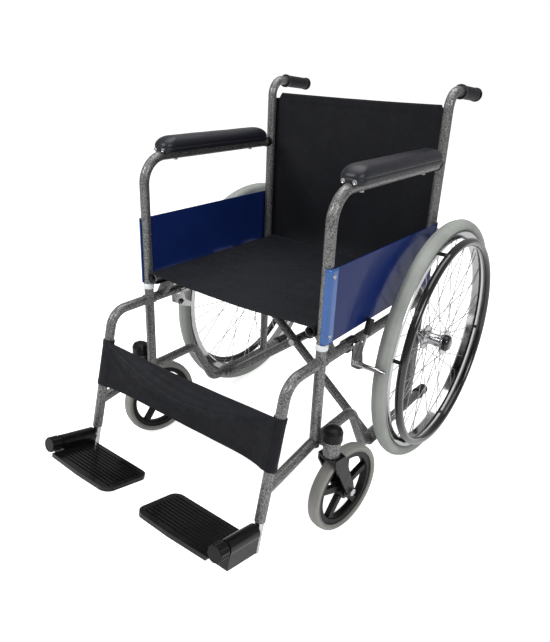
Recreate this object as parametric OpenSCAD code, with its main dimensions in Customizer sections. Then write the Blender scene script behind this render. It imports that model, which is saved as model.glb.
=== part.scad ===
// Manual folding wheelchair: welded tube side frames joined by a folding cross brace, with slung seat
// and back, 24 inch rear wheels, 8 inch casters, flip-up footplates and tyre brakes.
// Millimetres. +Z up, the chair faces -Y, its left side is +X. Z = 0 is the floor.

/* [Frame] */
// Chair centre to the centre of each side frame's tubes
frame_x = 245; // [220:1:260]
// Front post ahead of the rear axle
post_ahead = 458; // [430:1:470]
// Height of the arm tube
arm_z = 734; // [710:1:745]
// Height of the side rail that the brake and the seat cradles are fixed to
rail_z = 403; // [390:1:415]
// Height of the lower rail that the cross brace turns on
low_z = 95; // [85:1:105]
// Height at which each back post bends into its push handle
handle_z = 893; // [870:1:910]
// Outside radius of the frame tubes, 22.2 mm tube
tube_r = 11.1; // [11.1]
// Wall of the frame tubes
wall = 1.5; // [1.2:0.1:2]

/* [Seat] */
// Height of the seat tubes
seat_z = 463; // [455:1:470]
// Seat tube centre inboard of the side frame
seat_in = 25; // [24:0.5:27]
// Thickness of the seat and back fabric
cloth_t = 3; // [2:0.5:4]
// Top of the backrest
back_top = 862; // [830:1:862]

/* [Rear wheels] */
// Outside radius of the tyre, a 24 inch wheel
rear_r = 305; // [300:1:307]
// Chair centre to the middle of the tyre
rear_x = 298; // [292:1:305]
// Tyre width
tyre_w = 34; // [30:1:36]
// Handrim radius to the centre of its tube
hand_r = 256; // [250:1:260]
// Handrim tube radius
hand_tube_r = 9.5; // [9:0.5:10]
// Chair centre to the handrim
hand_x = 329; // [327:1:334]
// Spokes in each rear wheel
spokes = 36; // [36]
// Rear axle radius, 12 mm bolt
axle_r = 6; // [6]

/* [Casters] */
// Outside radius of the caster tyre, an 8 inch wheel
caster_r = 100; // [100]
// Caster tyre width
caster_w = 28; // [26:1:30]
// Chair centre to the caster's upright axis
caster_x = 287; // [283:1:292]
// Axle behind the upright axis
trail = 50; // [45:1:52]
// Way the left caster points, from straight back
left_turn = 8; // [0:1:40]
// Way the right caster points, from straight back
right_turn = 12; // [0:1:40]

/* [Footrests] */
// Lean of the hanger tubes
lean = 14; // [10:1:16]
// Hanger bend ahead of the front post
hanger_ahead = 109; // [100:1:115]
// Height at which the footplate's spigot leaves the footrest tube
foot_z = 115; // [100:1:120]
// Radius of the footrest tube that slides in the hanger
foot_r = 9.5; // [9.5]
// Width of each footplate
plate_w = 186; // [170:1:190]
// Depth of each footplate
plate_d = 118; // [110:1:120]

/* [Hidden] */
$fn = 48;
bore_r = tube_r - wall;
swell = 0.06;
panel_z = 447;
panel_tall = 150;
panel_gap = 0.4;
panel_t = 2.6;
knob_r = 17;
knob_core = knob_r - 1.5;
knob_end = 128;
block_end = 100;
block_r = 16;
plate_start = 15;
plate_top = 12;
plate_t = 9;
hanger_end = 132;
spigot = 122;
spigot_r = 7.5;
foot_up = 190;
foot_low = 48;
down = [-sin(lean), -cos(lean)];
hanger_run = (rail_z - foot_z) / cos(lean);
foot_reach = post_ahead + hanger_ahead + hanger_run * sin(lean)
    + (plate_start + plate_d) * cos(lean) + (plate_top + plate_t) * sin(lean);
axle_y = (foot_reach - rear_r) / 2;
post_y = axle_y - post_ahead;
bend_y = post_y - hanger_ahead;
foot_y = bend_y - hanger_run * sin(lean);
brace_y = axle_y - 176;
brace_gap = 12;
bolt_z = low_z + (seat_z - low_z - 10) / 2;
seat_x = frame_x - seat_in;
brace_slope = (seat_z - 15 - bolt_z) / (seat_x - 2);
brace_turn = atan(brace_slope);
brake_y = axle_y - 350;

// ---------- helpers ----------

// Draws its children for the left side, or mirrored for the right
module on_side(s) {
    if (s > 0) {
        children();
    } else {
        mirror([1, 0, 0]) children();
    }
}

// Local X, Y drawn along the chair's Y, Z in the plane at x
module side_plane(x) {
    translate([x, 0, 0]) rotate([90, 0, 90]) children();
}

// A round bar or ring whose axis runs along X
module along_x(x0, x1, y, z, r) {
    translate([x0, y, z]) rotate([0, 90, 0]) cylinder(h = x1 - x0, r = r);
}

// A round bar whose axis runs along Y
module along_y(x, y0, y1, z, r) {
    translate([x, y0, z]) rotate([-90, 0, 0]) cylinder(h = y1 - y0, r = r);
}

function turn_of(a, b, c) = atan2(
    (b - a)[0] * (c - b)[1] - (b - a)[1] * (c - b)[0],
    (b - a)[0] * (c - b)[0] + (b - a)[1] * (c - b)[1]);
function trim_of(pts, i, bend) = (i == 0 || i == len(pts) - 1) ? 0
    : bend * tan(abs(turn_of(pts[i - 1], pts[i], pts[i + 1])) / 2);

// A length of tube along local X from the origin, solid when the bore is 0
module stock(run, r, bore) {
    rotate([0, 90, 0]) difference() {
        cylinder(h = run, r = r);
        if (bore > 0) {
            translate([0, 0, -1]) cylinder(h = run + 2, r = bore);
        }
    }
}

// Tube of radius r through the points, bent to radius bend at each inner one. Each bend is a hair
// thicker than the straight tube that runs 1 mm into it.
module pipe(pts, bend, r, bore = 0) {
    last = len(pts) - 1;
    for (i = [0 : last - 1]) {
        d = pts[i + 1] - pts[i];
        from = trim_of(pts, i, bend);
        to = trim_of(pts, i + 1, bend);
        near = i == 0 ? 0 : 1;
        far = i == last - 1 ? 0 : 1;
        translate([pts[i][0], pts[i][1], 0]) rotate([0, 0, atan2(d[1], d[0])])
            translate([from - near, 0, 0]) stock(norm(d) - from - to + near + far, r, bore);
    }
    for (i = [1 : 1 : last - 1]) {
        d = pts[i] - pts[i - 1];
        turn = turn_of(pts[i - 1], pts[i], pts[i + 1]);
        head = atan2(d[1], d[0]);
        start = pts[i] - d / norm(d) * trim_of(pts, i, bend);
        centre = start + bend * sign(turn) * [-sin(head), cos(head)];
        translate([centre[0], centre[1], 0])
            rotate([0, 0, turn > 0 ? head - 90 : head + 90 + turn])
            rotate_extrude(angle = abs(turn)) translate([bend, 0]) difference() {
                circle(r = r + swell);
                if (bore > 0) {
                    circle(r = bore - swell);
                }
            }
    }
}

module rounded(w, d, r) {
    hull() {
        for (x = [r, w - r]) {
            for (y = [r, d - r]) {
                translate([x, y]) circle(r = r);
            }
        }
    }
}

// A 2D outline (radius, distance along the axle) turned about the rear axle or a line like it
module turned_x(x, y, z) {
    translate([x, y, z]) rotate([0, 90, 0]) rotate_extrude() children();
}

// ---------- side frames ----------

arm_path = [[post_y, 209], [post_y, arm_z], [axle_y, arm_z]];
back_path = [[axle_y, low_z], [axle_y, handle_z], [axle_y + 152, handle_z - 13]];
hanger_path = [[post_y, rail_z], [bend_y, rail_z],
    [bend_y, rail_z] + down * (rail_z - hanger_end) / cos(lean)];
goose_path = [[post_y, 222], [axle_y - 309, 222], [axle_y - 236, low_z], [axle_y + 108, low_z]];
front_low = [[post_y, 221], [bend_y, rail_z] + down * (rail_z - 196) / cos(lean)];

module front_post_space(r) {
    translate([frame_x, post_y, 150]) cylinder(h = 350, r = r);
}

module back_post_space(r) {
    translate([frame_x, axle_y, low_z]) cylinder(h = 700, r = r);
}

module arm_frame(s) {
    color("Silver") on_side(s) difference() {
        side_plane(frame_x) pipe(arm_path, 60, tube_r, bore_r);
        back_post_space(tube_r);
    }
}

module back_post(s) {
    color("Silver") on_side(s) difference() {
        side_plane(frame_x) pipe(back_path, 38, tube_r, bore_r);
        along_y(frame_x, axle_y - 30, axle_y + 30, low_z, tube_r);
        along_x(frame_x - 20, frame_x + 20, axle_y, rear_r, axle_r);
    }
}

// Short tube from the foot of the front post to the hanger
module lower_front() {
    difference() {
        side_plane(frame_x) pipe(front_low, 10, tube_r, bore_r);
        side_plane(frame_x) translate([bend_y, rail_z, 0]) rotate([0, 0, -90 - lean])
            rotate([0, 90, 0]) cylinder(h = 400, r = tube_r - 0.3);
    }
}

// Steel cradle on the side rail that the seat tube drops into
module cradle(y) {
    difference() {
        translate([0, y + 9, 0]) rotate([90, 0, 0]) linear_extrude(18) polygon([
            [seat_x - 19, seat_z - 1], [seat_x - 19, seat_z - 18], [frame_x - 13, rail_z + 4],
            [frame_x + 6, rail_z + 8], [frame_x - 6, rail_z + 30], [seat_x + 12, seat_z - 16],
            [seat_x + 12, seat_z - 6]]);
        along_y(seat_x, y - 12, y + 12, seat_z, tube_r + cloth_t / 2 + 0.8);
        translate([seat_x - 13.4, y - 12, seat_z]) cube([26.8, 24, 20]);
        along_y(frame_x, y - 12, y + 12, rail_z, tube_r - 0.6);
    }
}

module side_rail(s) {
    color("Silver") on_side(s) difference() {
        union() {
            side_plane(0) translate([post_y, rail_z, frame_x]) stock(post_ahead, tube_r, bore_r);
            side_plane(frame_x) pipe(hanger_path, 45, tube_r, bore_r);
            lower_front();
            cradle(post_y + 38);
            cradle(axle_y - 75);
        }
        front_post_space(tube_r);
        back_post_space(tube_r);
    }
}

// Gooseneck tube over the caster, its lower rail, and the housing that the caster's stem turns in
module lower_rail(s) {
    color("Silver") on_side(s) difference() {
        union() {
            side_plane(frame_x) pipe(goose_path, 42, tube_r, bore_r);
            translate([caster_x, post_y, 207.2]) cylinder(h = 52, r = 18);
            translate([frame_x + bore_r + 0.4, post_y + 5, 213]) cube([caster_x - frame_x - 14, 15, 29.6]);
        }
        translate([caster_x, post_y, 200]) cylinder(h = 70, r = 10);
        front_post_space(tube_r);
    }
}

module caster_cap(s) {
    color("Black") on_side(s) translate([caster_x, post_y, 0]) rotate_extrude() polygon([
        [18, 243], [20.5, 243], [20.5, 262], [17, 269], [10, 273], [0, 274.5], [0, 270],
        [9, 268], [15, 263], [18, 259.2]]);
}

// ---------- pads, panels, grips ----------

// Padded armrest, moulded to sit on top of the arm tube
module arm_pad(s) {
    y0 = axle_y - 412;
    color("DimGray") on_side(s) difference() {
        hull() {
            translate([frame_x - 26, y0 + 1, arm_z + 6]) linear_extrude(4) rounded(52, 372, 22);
            translate([frame_x - 27, y0, arm_z + 20]) linear_extrude(2) rounded(54, 374, 22);
            translate([frame_x - 18, y0 + 10, arm_z + 40]) linear_extrude(1) rounded(36, 354, 16);
        }
        along_y(frame_x, y0 - 10, y0 + 400, arm_z, tube_r);
    }
}

// The panel's edge, bent round the post at y, from one angle to another
module panel_edge(y, from, to) {
    translate([frame_x, y, panel_z - 0.5]) rotate([0, 0, from]) rotate_extrude(angle = to - from)
        translate([tube_r + panel_gap - swell, 0]) square([panel_t + 2 * swell, panel_tall + 1]);
}

// Clothing guard between the seat and the rear wheel
module side_panel(s) {
    color("RoyalBlue") on_side(s) union() {
        translate([frame_x + tube_r + panel_gap, post_y, panel_z]) cube([panel_t, post_ahead, panel_tall]);
        panel_edge(post_y, -76, 4);
        panel_edge(axle_y, -4, 80);
    }
}

module push_grip(s) {
    tilt = atan(13 / 152);
    run = norm([152, 13]);
    color("Black") on_side(s) side_plane(frame_x)
        translate([axle_y, handle_z, 0]) rotate([0, 0, -tilt]) rotate([0, 90, 0]) difference() {
            union() {
                translate([0, 0, 56]) cylinder(h = run - 52, r = 13.6);
                for (i = [0 : 8]) {
                    translate([0, 0, 64 + i * 9]) cylinder(h = 5, r = 14.8);
                }
                translate([0, 0, 54]) cylinder(h = 6, r = 16.5);
                translate([0, 0, run - 2]) cylinder(h = 5, r = 16);
            }
            translate([0, 0, 50]) cylinder(h = run - 50 + 0.01, r = tube_r);
        }
}

module rail_tip(s) {
    color("Black") on_side(s) difference() {
        union() {
            along_y(frame_x, axle_y + 76, axle_y + 112, low_z, 14);
            along_y(frame_x, axle_y + 72, axle_y + 80, low_z, 15.5);
        }
        along_y(frame_x, axle_y + 60, axle_y + 108, low_z, tube_r);
    }
}

// Panel screws in the front post and pad screws up through the arm tube
module frame_screws(s) {
    out = frame_x + tube_r + panel_gap + panel_t;
    color("LightGray") on_side(s) {
        for (z = [462, 582]) {
            along_x(out, out + 2.4, post_y, z, 4.2);
            along_x(out - 7, out + 0.5, post_y, z, 2);
            along_x(out, out + 2.4, axle_y, z, 4.2);
            along_x(out - 7, out + 0.5, axle_y, z, 2);
        }
        for (y = [axle_y - 360, axle_y - 90]) {
            translate([frame_x, y, arm_z - tube_r - 2.4]) cylinder(h = 3, r = 4.4);
            translate([frame_x, y, arm_z - tube_r]) cylinder(h = 36, r = 2.4);
        }
    }
}

// ---------- brakes ----------

lever_y = brake_y + 2;
lever_z = 372;
shoe_y = brake_y + 18;
shoe_z = 352;
rod_r = 5.5;
rod_at = 6.7;
rod_reach = rear_r + rod_r + 0.7;
rod_y = axle_y - rod_reach * cos(rod_at);
rod_z = rear_r + rod_reach * sin(rod_at);

module brake_bracket(s) {
    x = frame_x + 17.5;
    color("Gainsboro") on_side(s) difference() {
        union() {
            along_y(frame_x, brake_y - 16, brake_y + 16, rail_z, tube_r + 3.5);
            translate([frame_x, brake_y - 14, rail_z - 6]) cube([20.5, 28, 12]);
            translate([x, 0, 0]) rotate([90, 0, 90]) linear_extrude(3) hull() {
                translate([brake_y - 10, rail_z + 4]) circle(r = 8);
                translate([brake_y + 10, rail_z + 4]) circle(r = 8);
                translate([lever_y - 10, lever_z - 4]) circle(r = 9);
                translate([shoe_y + 4, shoe_z - 1]) circle(r = 9);
            }
        }
        along_y(frame_x, brake_y - 20, brake_y + 20, rail_z, tube_r);
        translate([frame_x - 20, brake_y - 20, rail_z - 1.2]) cube([12, 40, 2.4]);
    }
    color("Gainsboro") on_side(s) {
        along_x(x - 1, x + 8.2, lever_y, lever_z, 4);
        along_x(x + 6.9, x + 9.6, lever_y, lever_z, 6.5);
        along_x(x - 6.5, x + 1, shoe_y, shoe_z, 4);
        along_x(x - 9, x - 6.2, shoe_y, shoe_z, 6.5);
    }
}

module brake_lever(s) {
    x = frame_x + 21;
    top_y = lever_y + 34;
    top_z = lever_z + 80;
    color("Gainsboro") on_side(s) difference() {
        union() {
            translate([x, 0, 0]) rotate([90, 0, 90]) linear_extrude(3) hull() {
                translate([lever_y, lever_z]) circle(r = 10);
                translate([lever_y + 14, lever_z + 33]) circle(r = 7);
            }
            side_plane(x + 3.5) pipe([[lever_y + 13, lever_z + 30], [top_y, top_z]], 5, 3.5);
        }
        along_x(x - 2, x + 5, lever_y, lever_z, 4.06);
    }
    color("Black") on_side(s) side_plane(x + 3.5) difference() {
        pipe([[lever_y + 22.3, lever_z + 52], [top_y + 1.7, top_z + 4]], 5, 8);
        pipe([[lever_y + 13, lever_z + 30], [top_y, top_z]], 5, 3.5);
    }
}

module brake_shoe(s) {
    x = frame_x + 13.6;
    color("Gainsboro") on_side(s) difference() {
        union() {
            translate([x, 0, 0]) rotate([90, 0, 90]) linear_extrude(3.2) hull() {
                translate([shoe_y, shoe_z]) circle(r = 9);
                translate([rod_y, rod_z]) circle(r = 7);
            }
            along_x(x, rear_x + 16, rod_y, rod_z, rod_r);
        }
        along_x(x - 2, x + 5, shoe_y, shoe_z, 4.06);
    }
}

// ---------- rear wheels ----------

module rear_axle(s) {
    color("Gainsboro") on_side(s) {
        along_x(frame_x - tube_r - 3, rear_x + 36, axle_y, rear_r, axle_r);
        translate([frame_x - tube_r - 8, axle_y, rear_r]) rotate([0, 90, 0]) cylinder(h = 7, r = 11, $fn = 6);
        along_x(frame_x + tube_r + 0.05, frame_x + tube_r + 3.4, axle_y, rear_r, 10);
        translate([rear_x + 32.6, axle_y, rear_r]) rotate([0, 90, 0]) cylinder(h = 4, r = 10, $fn = 6);
        turned_x(rear_x + 36, axle_y, rear_r) polygon([[0, 0], [9, 0], [8, 2], [5, 3.4], [0, 4]]);
    }
}

module rear_hub(s) {
    color("Gainsboro") on_side(s) turned_x(rear_x, axle_y, rear_r) polygon([
        [axle_r + 0.06, -38], [15, -38], [17, -30], [17, -27], [31, -27], [31, -23], [19, -22], [15, -14],
        [15, 14], [19, 22], [31, 23], [31, 27], [19, 27], [19, 29], [14, 32], [axle_r + 0.06, 32]]);
}

// One spoke of the wheel at X = 0, from the hub flange to the rim
module spoke(hub_at, rim_at, hub_x, rim_x) {
    a = [hub_x, 28 * sin(hub_at), 28 * cos(hub_at)];
    b = [rim_x, 260.5 * sin(rim_at), 260.5 * cos(rim_at)];
    d = b - a;
    translate(a) rotate([0, acos(d[2] / norm(d)), atan2(d[1], d[0])]) cylinder(h = norm(d), r = 1, $fn = 16);
}

module rear_spokes(s) {
    pitch = 720 / spokes;
    color("Gainsboro") on_side(s) translate([rear_x, axle_y, rear_r]) {
        for (i = [0 : spokes / 4 - 1]) {
            for (side = [-1, 1]) {
                at = i * 2 * pitch + (side > 0 ? 0 : pitch / 2);
                spoke(at, at + 60, side * 26.4, side * 5.2);
                spoke(at + pitch, at + pitch - 60, side * 23.6, side * 2.2);
            }
        }
    }
}

module rear_rim(s) {
    color("Gainsboro") on_side(s) turned_x(rear_x, axle_y, rear_r) polygon([
        [259, -8], [259, 8], [263, 12.6], [277, 13.2], [277.6, 12.4], [277, 11.2], [264, 10.8],
        [262, 8], [262, -8], [264, -10.8], [277, -11.2], [277.6, -12.4], [277, -13.2], [263, -12.6]]);
}

module rear_tyre(s) {
    h = tyre_w / 2;
    color("DarkGray") on_side(s) turned_x(rear_x, axle_y, rear_r) union() {
        polygon([[262, -8], [264, -10.8], [277, -11.2], [279, -h + 4], [279, h - 4], [277, 11.2],
            [264, 10.8], [262, 8]]);
        hull() {
            translate([rear_r - 14, h - 12]) circle(r = 12);
            translate([rear_r - 14, 12 - h]) circle(r = 12);
            translate([rear_r - 13, 0]) circle(r = 13);
        }
    }
}

// Hollow push rim on six studs
module handrim(s) {
    color("Black") on_side(s) difference() {
        union() {
            turned_x(hand_x, axle_y, rear_r) translate([hand_r, 0]) circle(r = hand_tube_r);
            for (i = [0 : 5]) {
                translate([0, axle_y, rear_r]) rotate([i * 60 + 20, 0, 0])
                    along_x(rear_x + 13, hand_x - 2, 0, hand_r + 9, 4.5);
            }
        }
        turned_x(hand_x, axle_y, rear_r) translate([hand_r, 0]) circle(r = hand_tube_r - wall);
    }
}

// ---------- casters ----------

// Draws its children, made pointing straight back about the upright axis, turned the way the caster points
module caster_at(s) {
    on_side(s) translate([caster_x, post_y, 0]) rotate([0, 0, s > 0 ? -left_turn : right_turn]) children();
}

module caster_fork(s) {
    color("Black") caster_at(s) difference() {
        union() {
            translate([0, 0, 203]) cylinder(h = 56, r = 9.95);
            translate([0, 0, 202.6]) linear_extrude(4) hull() {
                circle(r = 20);
                translate([-24, -12]) square([48, 30]);
            }
            for (x = [-24, 19]) {
                translate([x, 0, 0]) rotate([90, 0, 90]) linear_extrude(5) hull() {
                    translate([-12, 190]) square([30, 16.6]);
                    translate([trail, caster_r]) circle(r = 11);
                }
            }
        }
        along_x(-30, 30, trail, caster_r, axle_r);
    }
}

module caster_axle(s) {
    color("Gainsboro") caster_at(s) {
        along_x(-29, 29, trail, caster_r, axle_r);
        translate([24, trail, caster_r]) rotate([0, 90, 0]) cylinder(h = 5, r = 9, $fn = 6);
        translate([-29, trail, caster_r]) rotate([0, 90, 0]) cylinder(h = 5, r = 9, $fn = 6);
    }
}

module caster_wheel(s) {
    color("Black") caster_at(s) translate([0, trail, caster_r]) difference() {
        union() {
            turned_x(0, 0, 0) polygon([[74, -9], [86, -9], [86, -6], [84, -4], [84, 4], [86, 6],
                [86, 9], [74, 9], [72, 5], [72, -5]]);
            along_x(-18.4, 18.4, 0, 0, 16);
            along_x(-13, 13, 0, 0, 22);
            for (i = [0 : 4]) {
                rotate([i * 72, 0, 0]) translate([-6, -7, 12]) cube([12, 14, 62]);
            }
        }
        along_x(-20, 20, 0, 0, axle_r + 0.06);
    }
}

module caster_tyre(s) {
    color("DarkGray") caster_at(s) turned_x(0, trail, caster_r) union() {
        polygon([[84.1, -3.9], [86.1, -5.9], [86.1, -12], [88, -13],
            [88, 13], [86.1, 12], [86.1, 5.9], [84.1, 3.9]]);
        hull() {
            translate([caster_r - 7, caster_w / 2 - 6]) circle(r = 6);
            translate([caster_r - 7, 6 - caster_w / 2]) circle(r = 6);
            translate([caster_r - 6.4, 0]) circle(r = 6.4);
        }
    }
}

// ---------- footrests ----------

// Local X ahead along the spigot, local Y down the footrest tube, local Z to the chair's left
module at_foot(s) {
    on_side(s) side_plane(frame_x) translate([foot_y, foot_z, 0]) rotate([0, 0, 180 - lean]) children();
}

// A round bar along local X
module along_spigot(x0, x1, r) {
    translate([x0, 0, 0]) rotate([0, 90, 0]) cylinder(h = x1 - x0, r = r);
}

// A round bar along local Y
module along_foot(y0, y1, r) {
    translate([0, y0, 0]) rotate([-90, 0, 0]) cylinder(h = y1 - y0, r = r);
}

// Straight tube that slides in the hanger, with the footplate's spigot welded to it
module footrest_tube(s) {
    color("Gainsboro") at_foot(s) difference() {
        union() {
            along_foot(-foot_up, foot_low, foot_r);
            along_spigot(0, spigot, spigot_r);
        }
        along_foot(-foot_up - 1, foot_low + 1, foot_r - wall);
    }
}

module footplate(s) {
    inner = -plate_w - 4;
    color("Black") at_foot(s) difference() {
        union() {
            along_spigot(plate_start - 1, block_end, block_r);
            translate([plate_start - 1, 0, -17]) cube([block_end - plate_start + 1, 38, 32]);
            translate([plate_start, plate_top + plate_t, -16]) rotate([90, 0, 0]) linear_extrude(plate_t)
                mirror([0, 1]) hull() {
                    square([plate_d - 4, 10]);
                    translate([20, plate_w - 20]) circle(r = 20);
                    translate([plate_d - 24, plate_w - 22]) circle(r = 22);
                    translate([plate_d / 2, plate_w / 2]) circle(r = plate_d / 2);
                }
            for (i = [0 : 9]) {
                translate([plate_start + 12 + i * 9.4, plate_top - 1.8, inner]) cube([3.4, 3.8, plate_w - 26]);
            }
        }
        along_spigot(plate_start - 10, block_end + 10, spigot_r + 0.08);
    }
}

// Ribbed knob that holds the footplate on its spigot
module foot_knob(s) {
    start = block_end + 3;
    color("DimGray") at_foot(s) difference() {
        union() {
            along_spigot(block_end + 0.6, start + 1, knob_r - 3);
            along_spigot(start, knob_end, knob_core);
            for (i = [0 : 9]) {
                rotate([i * 36 + 18, 0, 0]) translate([start + 2, 0, knob_r - 4])
                    rotate([0, 90, 0]) cylinder(h = knob_end - start - 3, r = 4);
            }
        }
        along_spigot(block_end - 10, spigot, spigot_r);
    }
}

// ---------- cross brace and fabric ----------

// The brace that turns on this side's lower rail and carries the other side's seat tube
module cross_brace(s) {
    y = brace_y - s * brace_gap;
    low = [cos(brace_turn), -sin(brace_turn)] * (frame_x * cos(brace_turn) + (bolt_z - low_z) * sin(brace_turn));
    up = [-cos(brace_turn), sin(brace_turn)] * norm([seat_x - 2, seat_z - 15 - bolt_z]);
    color("Silver") on_side(s) difference() {
        union() {
            translate([0, y, bolt_z]) rotate([90, 0, 0]) pipe([low, up], 5, tube_r);
            along_y(frame_x, y - 22, y + 22, low_z, 16.5);
            along_y(-seat_x, axle_y - 466, axle_y - 2, seat_z, tube_r);
        }
        translate([0, y, bolt_z]) rotate([90, 0, 0]) pipe([low * 0.9, up * 0.9], 5, bore_r);
        along_y(frame_x, y - 30, y + 30, low_z, tube_r + 0.1);
        along_y(-seat_x, axle_y - 470, axle_y + 2, seat_z, bore_r);
        along_y(0, y - 20, y + 20, bolt_z, s > 0 ? 5 : 5.06);
    }
}

module brace_bolt() {
    y0 = brace_y - brace_gap - tube_r;
    y1 = brace_y + brace_gap + tube_r;
    color("Gainsboro") {
        along_y(0, y0 - 4, y1 + 4, bolt_z, 5);
        translate([0, y0 - 0.4, bolt_z]) rotate([90, 0, 0]) cylinder(h = 5, r = 9, $fn = 6);
        translate([0, y1 + 5.4, bolt_z]) rotate([90, 0, 0]) cylinder(h = 5, r = 9, $fn = 6);
    }
}

// Half of the seat sling, round this side's seat tube
module seat_sling(s) {
    t = cloth_t / 2;
    color("DimGray") on_side(s) difference() {
        union() {
            translate([0.6, axle_y - 470, seat_z + tube_r - t]) cube([seat_x - 0.6, 470, cloth_t]);
            along_y(seat_x, axle_y - 470, axle_y, seat_z, tube_r + t);
        }
        along_y(seat_x, axle_y - 471, axle_y + 2, seat_z, tube_r);
        translate([seat_x - 30, brace_y - 36, seat_z - 30]) cube([60, 72, 34]);
    }
}

// Slung back behind the posts, narrower where the side panels wrap the posts
module backrest() {
    y = axle_y + tube_r + 0.3;
    step = panel_z + panel_tall + 5;
    color("DimGray") {
        translate([14 - frame_x, y, step]) cube([2 * frame_x - 28, cloth_t, back_top - step]);
        translate([-frame_x - 7, y, step]) cube([2 * frame_x + 14, cloth_t, handle_z - 41 - step]);
        translate([2 - frame_x, y, 440]) cube([2 * frame_x - 4, cloth_t, step - 439]);
    }
}

module calf_strap() {
    t = cloth_t / 2;
    run = 108;
    color("DimGray") side_plane(0) translate([bend_y, rail_z, 0]) rotate([0, 0, -90 - lean])
        translate([66, 0, 0]) difference() {
            union() {
                translate([0, -tube_r - t, -frame_x]) cube([run, cloth_t, 2 * frame_x]);
                for (x = [-frame_x, frame_x]) {
                    translate([0, 0, x]) rotate([0, 90, 0]) cylinder(h = run, r = tube_r + t);
                }
            }
            for (x = [-frame_x, frame_x]) {
                translate([-1, 0, x]) rotate([0, 90, 0]) cylinder(h = run + 2, r = tube_r + 0.15);
            }
        }
}

// ---------- one module for each named part ----------

module arm_frame_left() {
    arm_frame(1);
}

module arm_frame_right() {
    arm_frame(-1);
}

module back_post_left() {
    back_post(1);
}

module back_post_right() {
    back_post(-1);
}

module side_rail_left() {
    side_rail(1);
}

module side_rail_right() {
    side_rail(-1);
}

module lower_rail_left() {
    lower_rail(1);
}

module lower_rail_right() {
    lower_rail(-1);
}

module caster_cap_left() {
    caster_cap(1);
}

module caster_cap_right() {
    caster_cap(-1);
}

module arm_pad_left() {
    arm_pad(1);
}

module arm_pad_right() {
    arm_pad(-1);
}

module side_panel_left() {
    side_panel(1);
}

module side_panel_right() {
    side_panel(-1);
}

module push_grip_left() {
    push_grip(1);
}

module push_grip_right() {
    push_grip(-1);
}

module rail_tip_left() {
    rail_tip(1);
}

module rail_tip_right() {
    rail_tip(-1);
}

module frame_screws_left() {
    frame_screws(1);
}

module frame_screws_right() {
    frame_screws(-1);
}

module brake_bracket_left() {
    brake_bracket(1);
}

module brake_bracket_right() {
    brake_bracket(-1);
}

module brake_lever_left() {
    brake_lever(1);
}

module brake_lever_right() {
    brake_lever(-1);
}

module brake_shoe_left() {
    brake_shoe(1);
}

module brake_shoe_right() {
    brake_shoe(-1);
}

module rear_axle_left() {
    rear_axle(1);
}

module rear_axle_right() {
    rear_axle(-1);
}

module rear_hub_left() {
    rear_hub(1);
}

module rear_hub_right() {
    rear_hub(-1);
}

module rear_spokes_left() {
    rear_spokes(1);
}

module rear_spokes_right() {
    rear_spokes(-1);
}

module rear_rim_left() {
    rear_rim(1);
}

module rear_rim_right() {
    rear_rim(-1);
}

module rear_tyre_left() {
    rear_tyre(1);
}

module rear_tyre_right() {
    rear_tyre(-1);
}

module handrim_left() {
    handrim(1);
}

module handrim_right() {
    handrim(-1);
}

module caster_fork_left() {
    caster_fork(1);
}

module caster_fork_right() {
    caster_fork(-1);
}

module caster_axle_left() {
    caster_axle(1);
}

module caster_axle_right() {
    caster_axle(-1);
}

module caster_wheel_left() {
    caster_wheel(1);
}

module caster_wheel_right() {
    caster_wheel(-1);
}

module caster_tyre_left() {
    caster_tyre(1);
}

module caster_tyre_right() {
    caster_tyre(-1);
}

module footrest_tube_left() {
    footrest_tube(1);
}

module footrest_tube_right() {
    footrest_tube(-1);
}

module footplate_left() {
    footplate(1);
}

module footplate_right() {
    footplate(-1);
}

module foot_knob_left() {
    foot_knob(1);
}

module foot_knob_right() {
    foot_knob(-1);
}

module cross_brace_left() {
    cross_brace(1);
}

module cross_brace_right() {
    cross_brace(-1);
}

module seat_sling_left() {
    seat_sling(1);
}

module seat_sling_right() {
    seat_sling(-1);
}

arm_frame_left();
arm_frame_right();
back_post_left();
back_post_right();
side_rail_left();
side_rail_right();
lower_rail_left();
lower_rail_right();
caster_cap_left();
caster_cap_right();
arm_pad_left();
arm_pad_right();
side_panel_left();
side_panel_right();
push_grip_left();
push_grip_right();
rail_tip_left();
rail_tip_right();
frame_screws_left();
frame_screws_right();
brake_bracket_left();
brake_bracket_right();
brake_lever_left();
brake_lever_right();
brake_shoe_left();
brake_shoe_right();
rear_axle_left();
rear_axle_right();
rear_hub_left();
rear_hub_right();
rear_spokes_left();
rear_spokes_right();
rear_rim_left();
rear_rim_right();
rear_tyre_left();
rear_tyre_right();
handrim_left();
handrim_right();
caster_fork_left();
caster_fork_right();
caster_axle_left();
caster_axle_right();
caster_wheel_left();
caster_wheel_right();
caster_tyre_left();
caster_tyre_right();
footrest_tube_left();
footrest_tube_right();
footplate_left();
footplate_right();
foot_knob_left();
foot_knob_right();
cross_brace_left();
cross_brace_right();
brace_bolt();
seat_sling_left();
seat_sling_right();
backrest();
calf_strap();
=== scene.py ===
import math
import bmesh
import bpy
from mathutils import Matrix, Vector, noise


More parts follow.
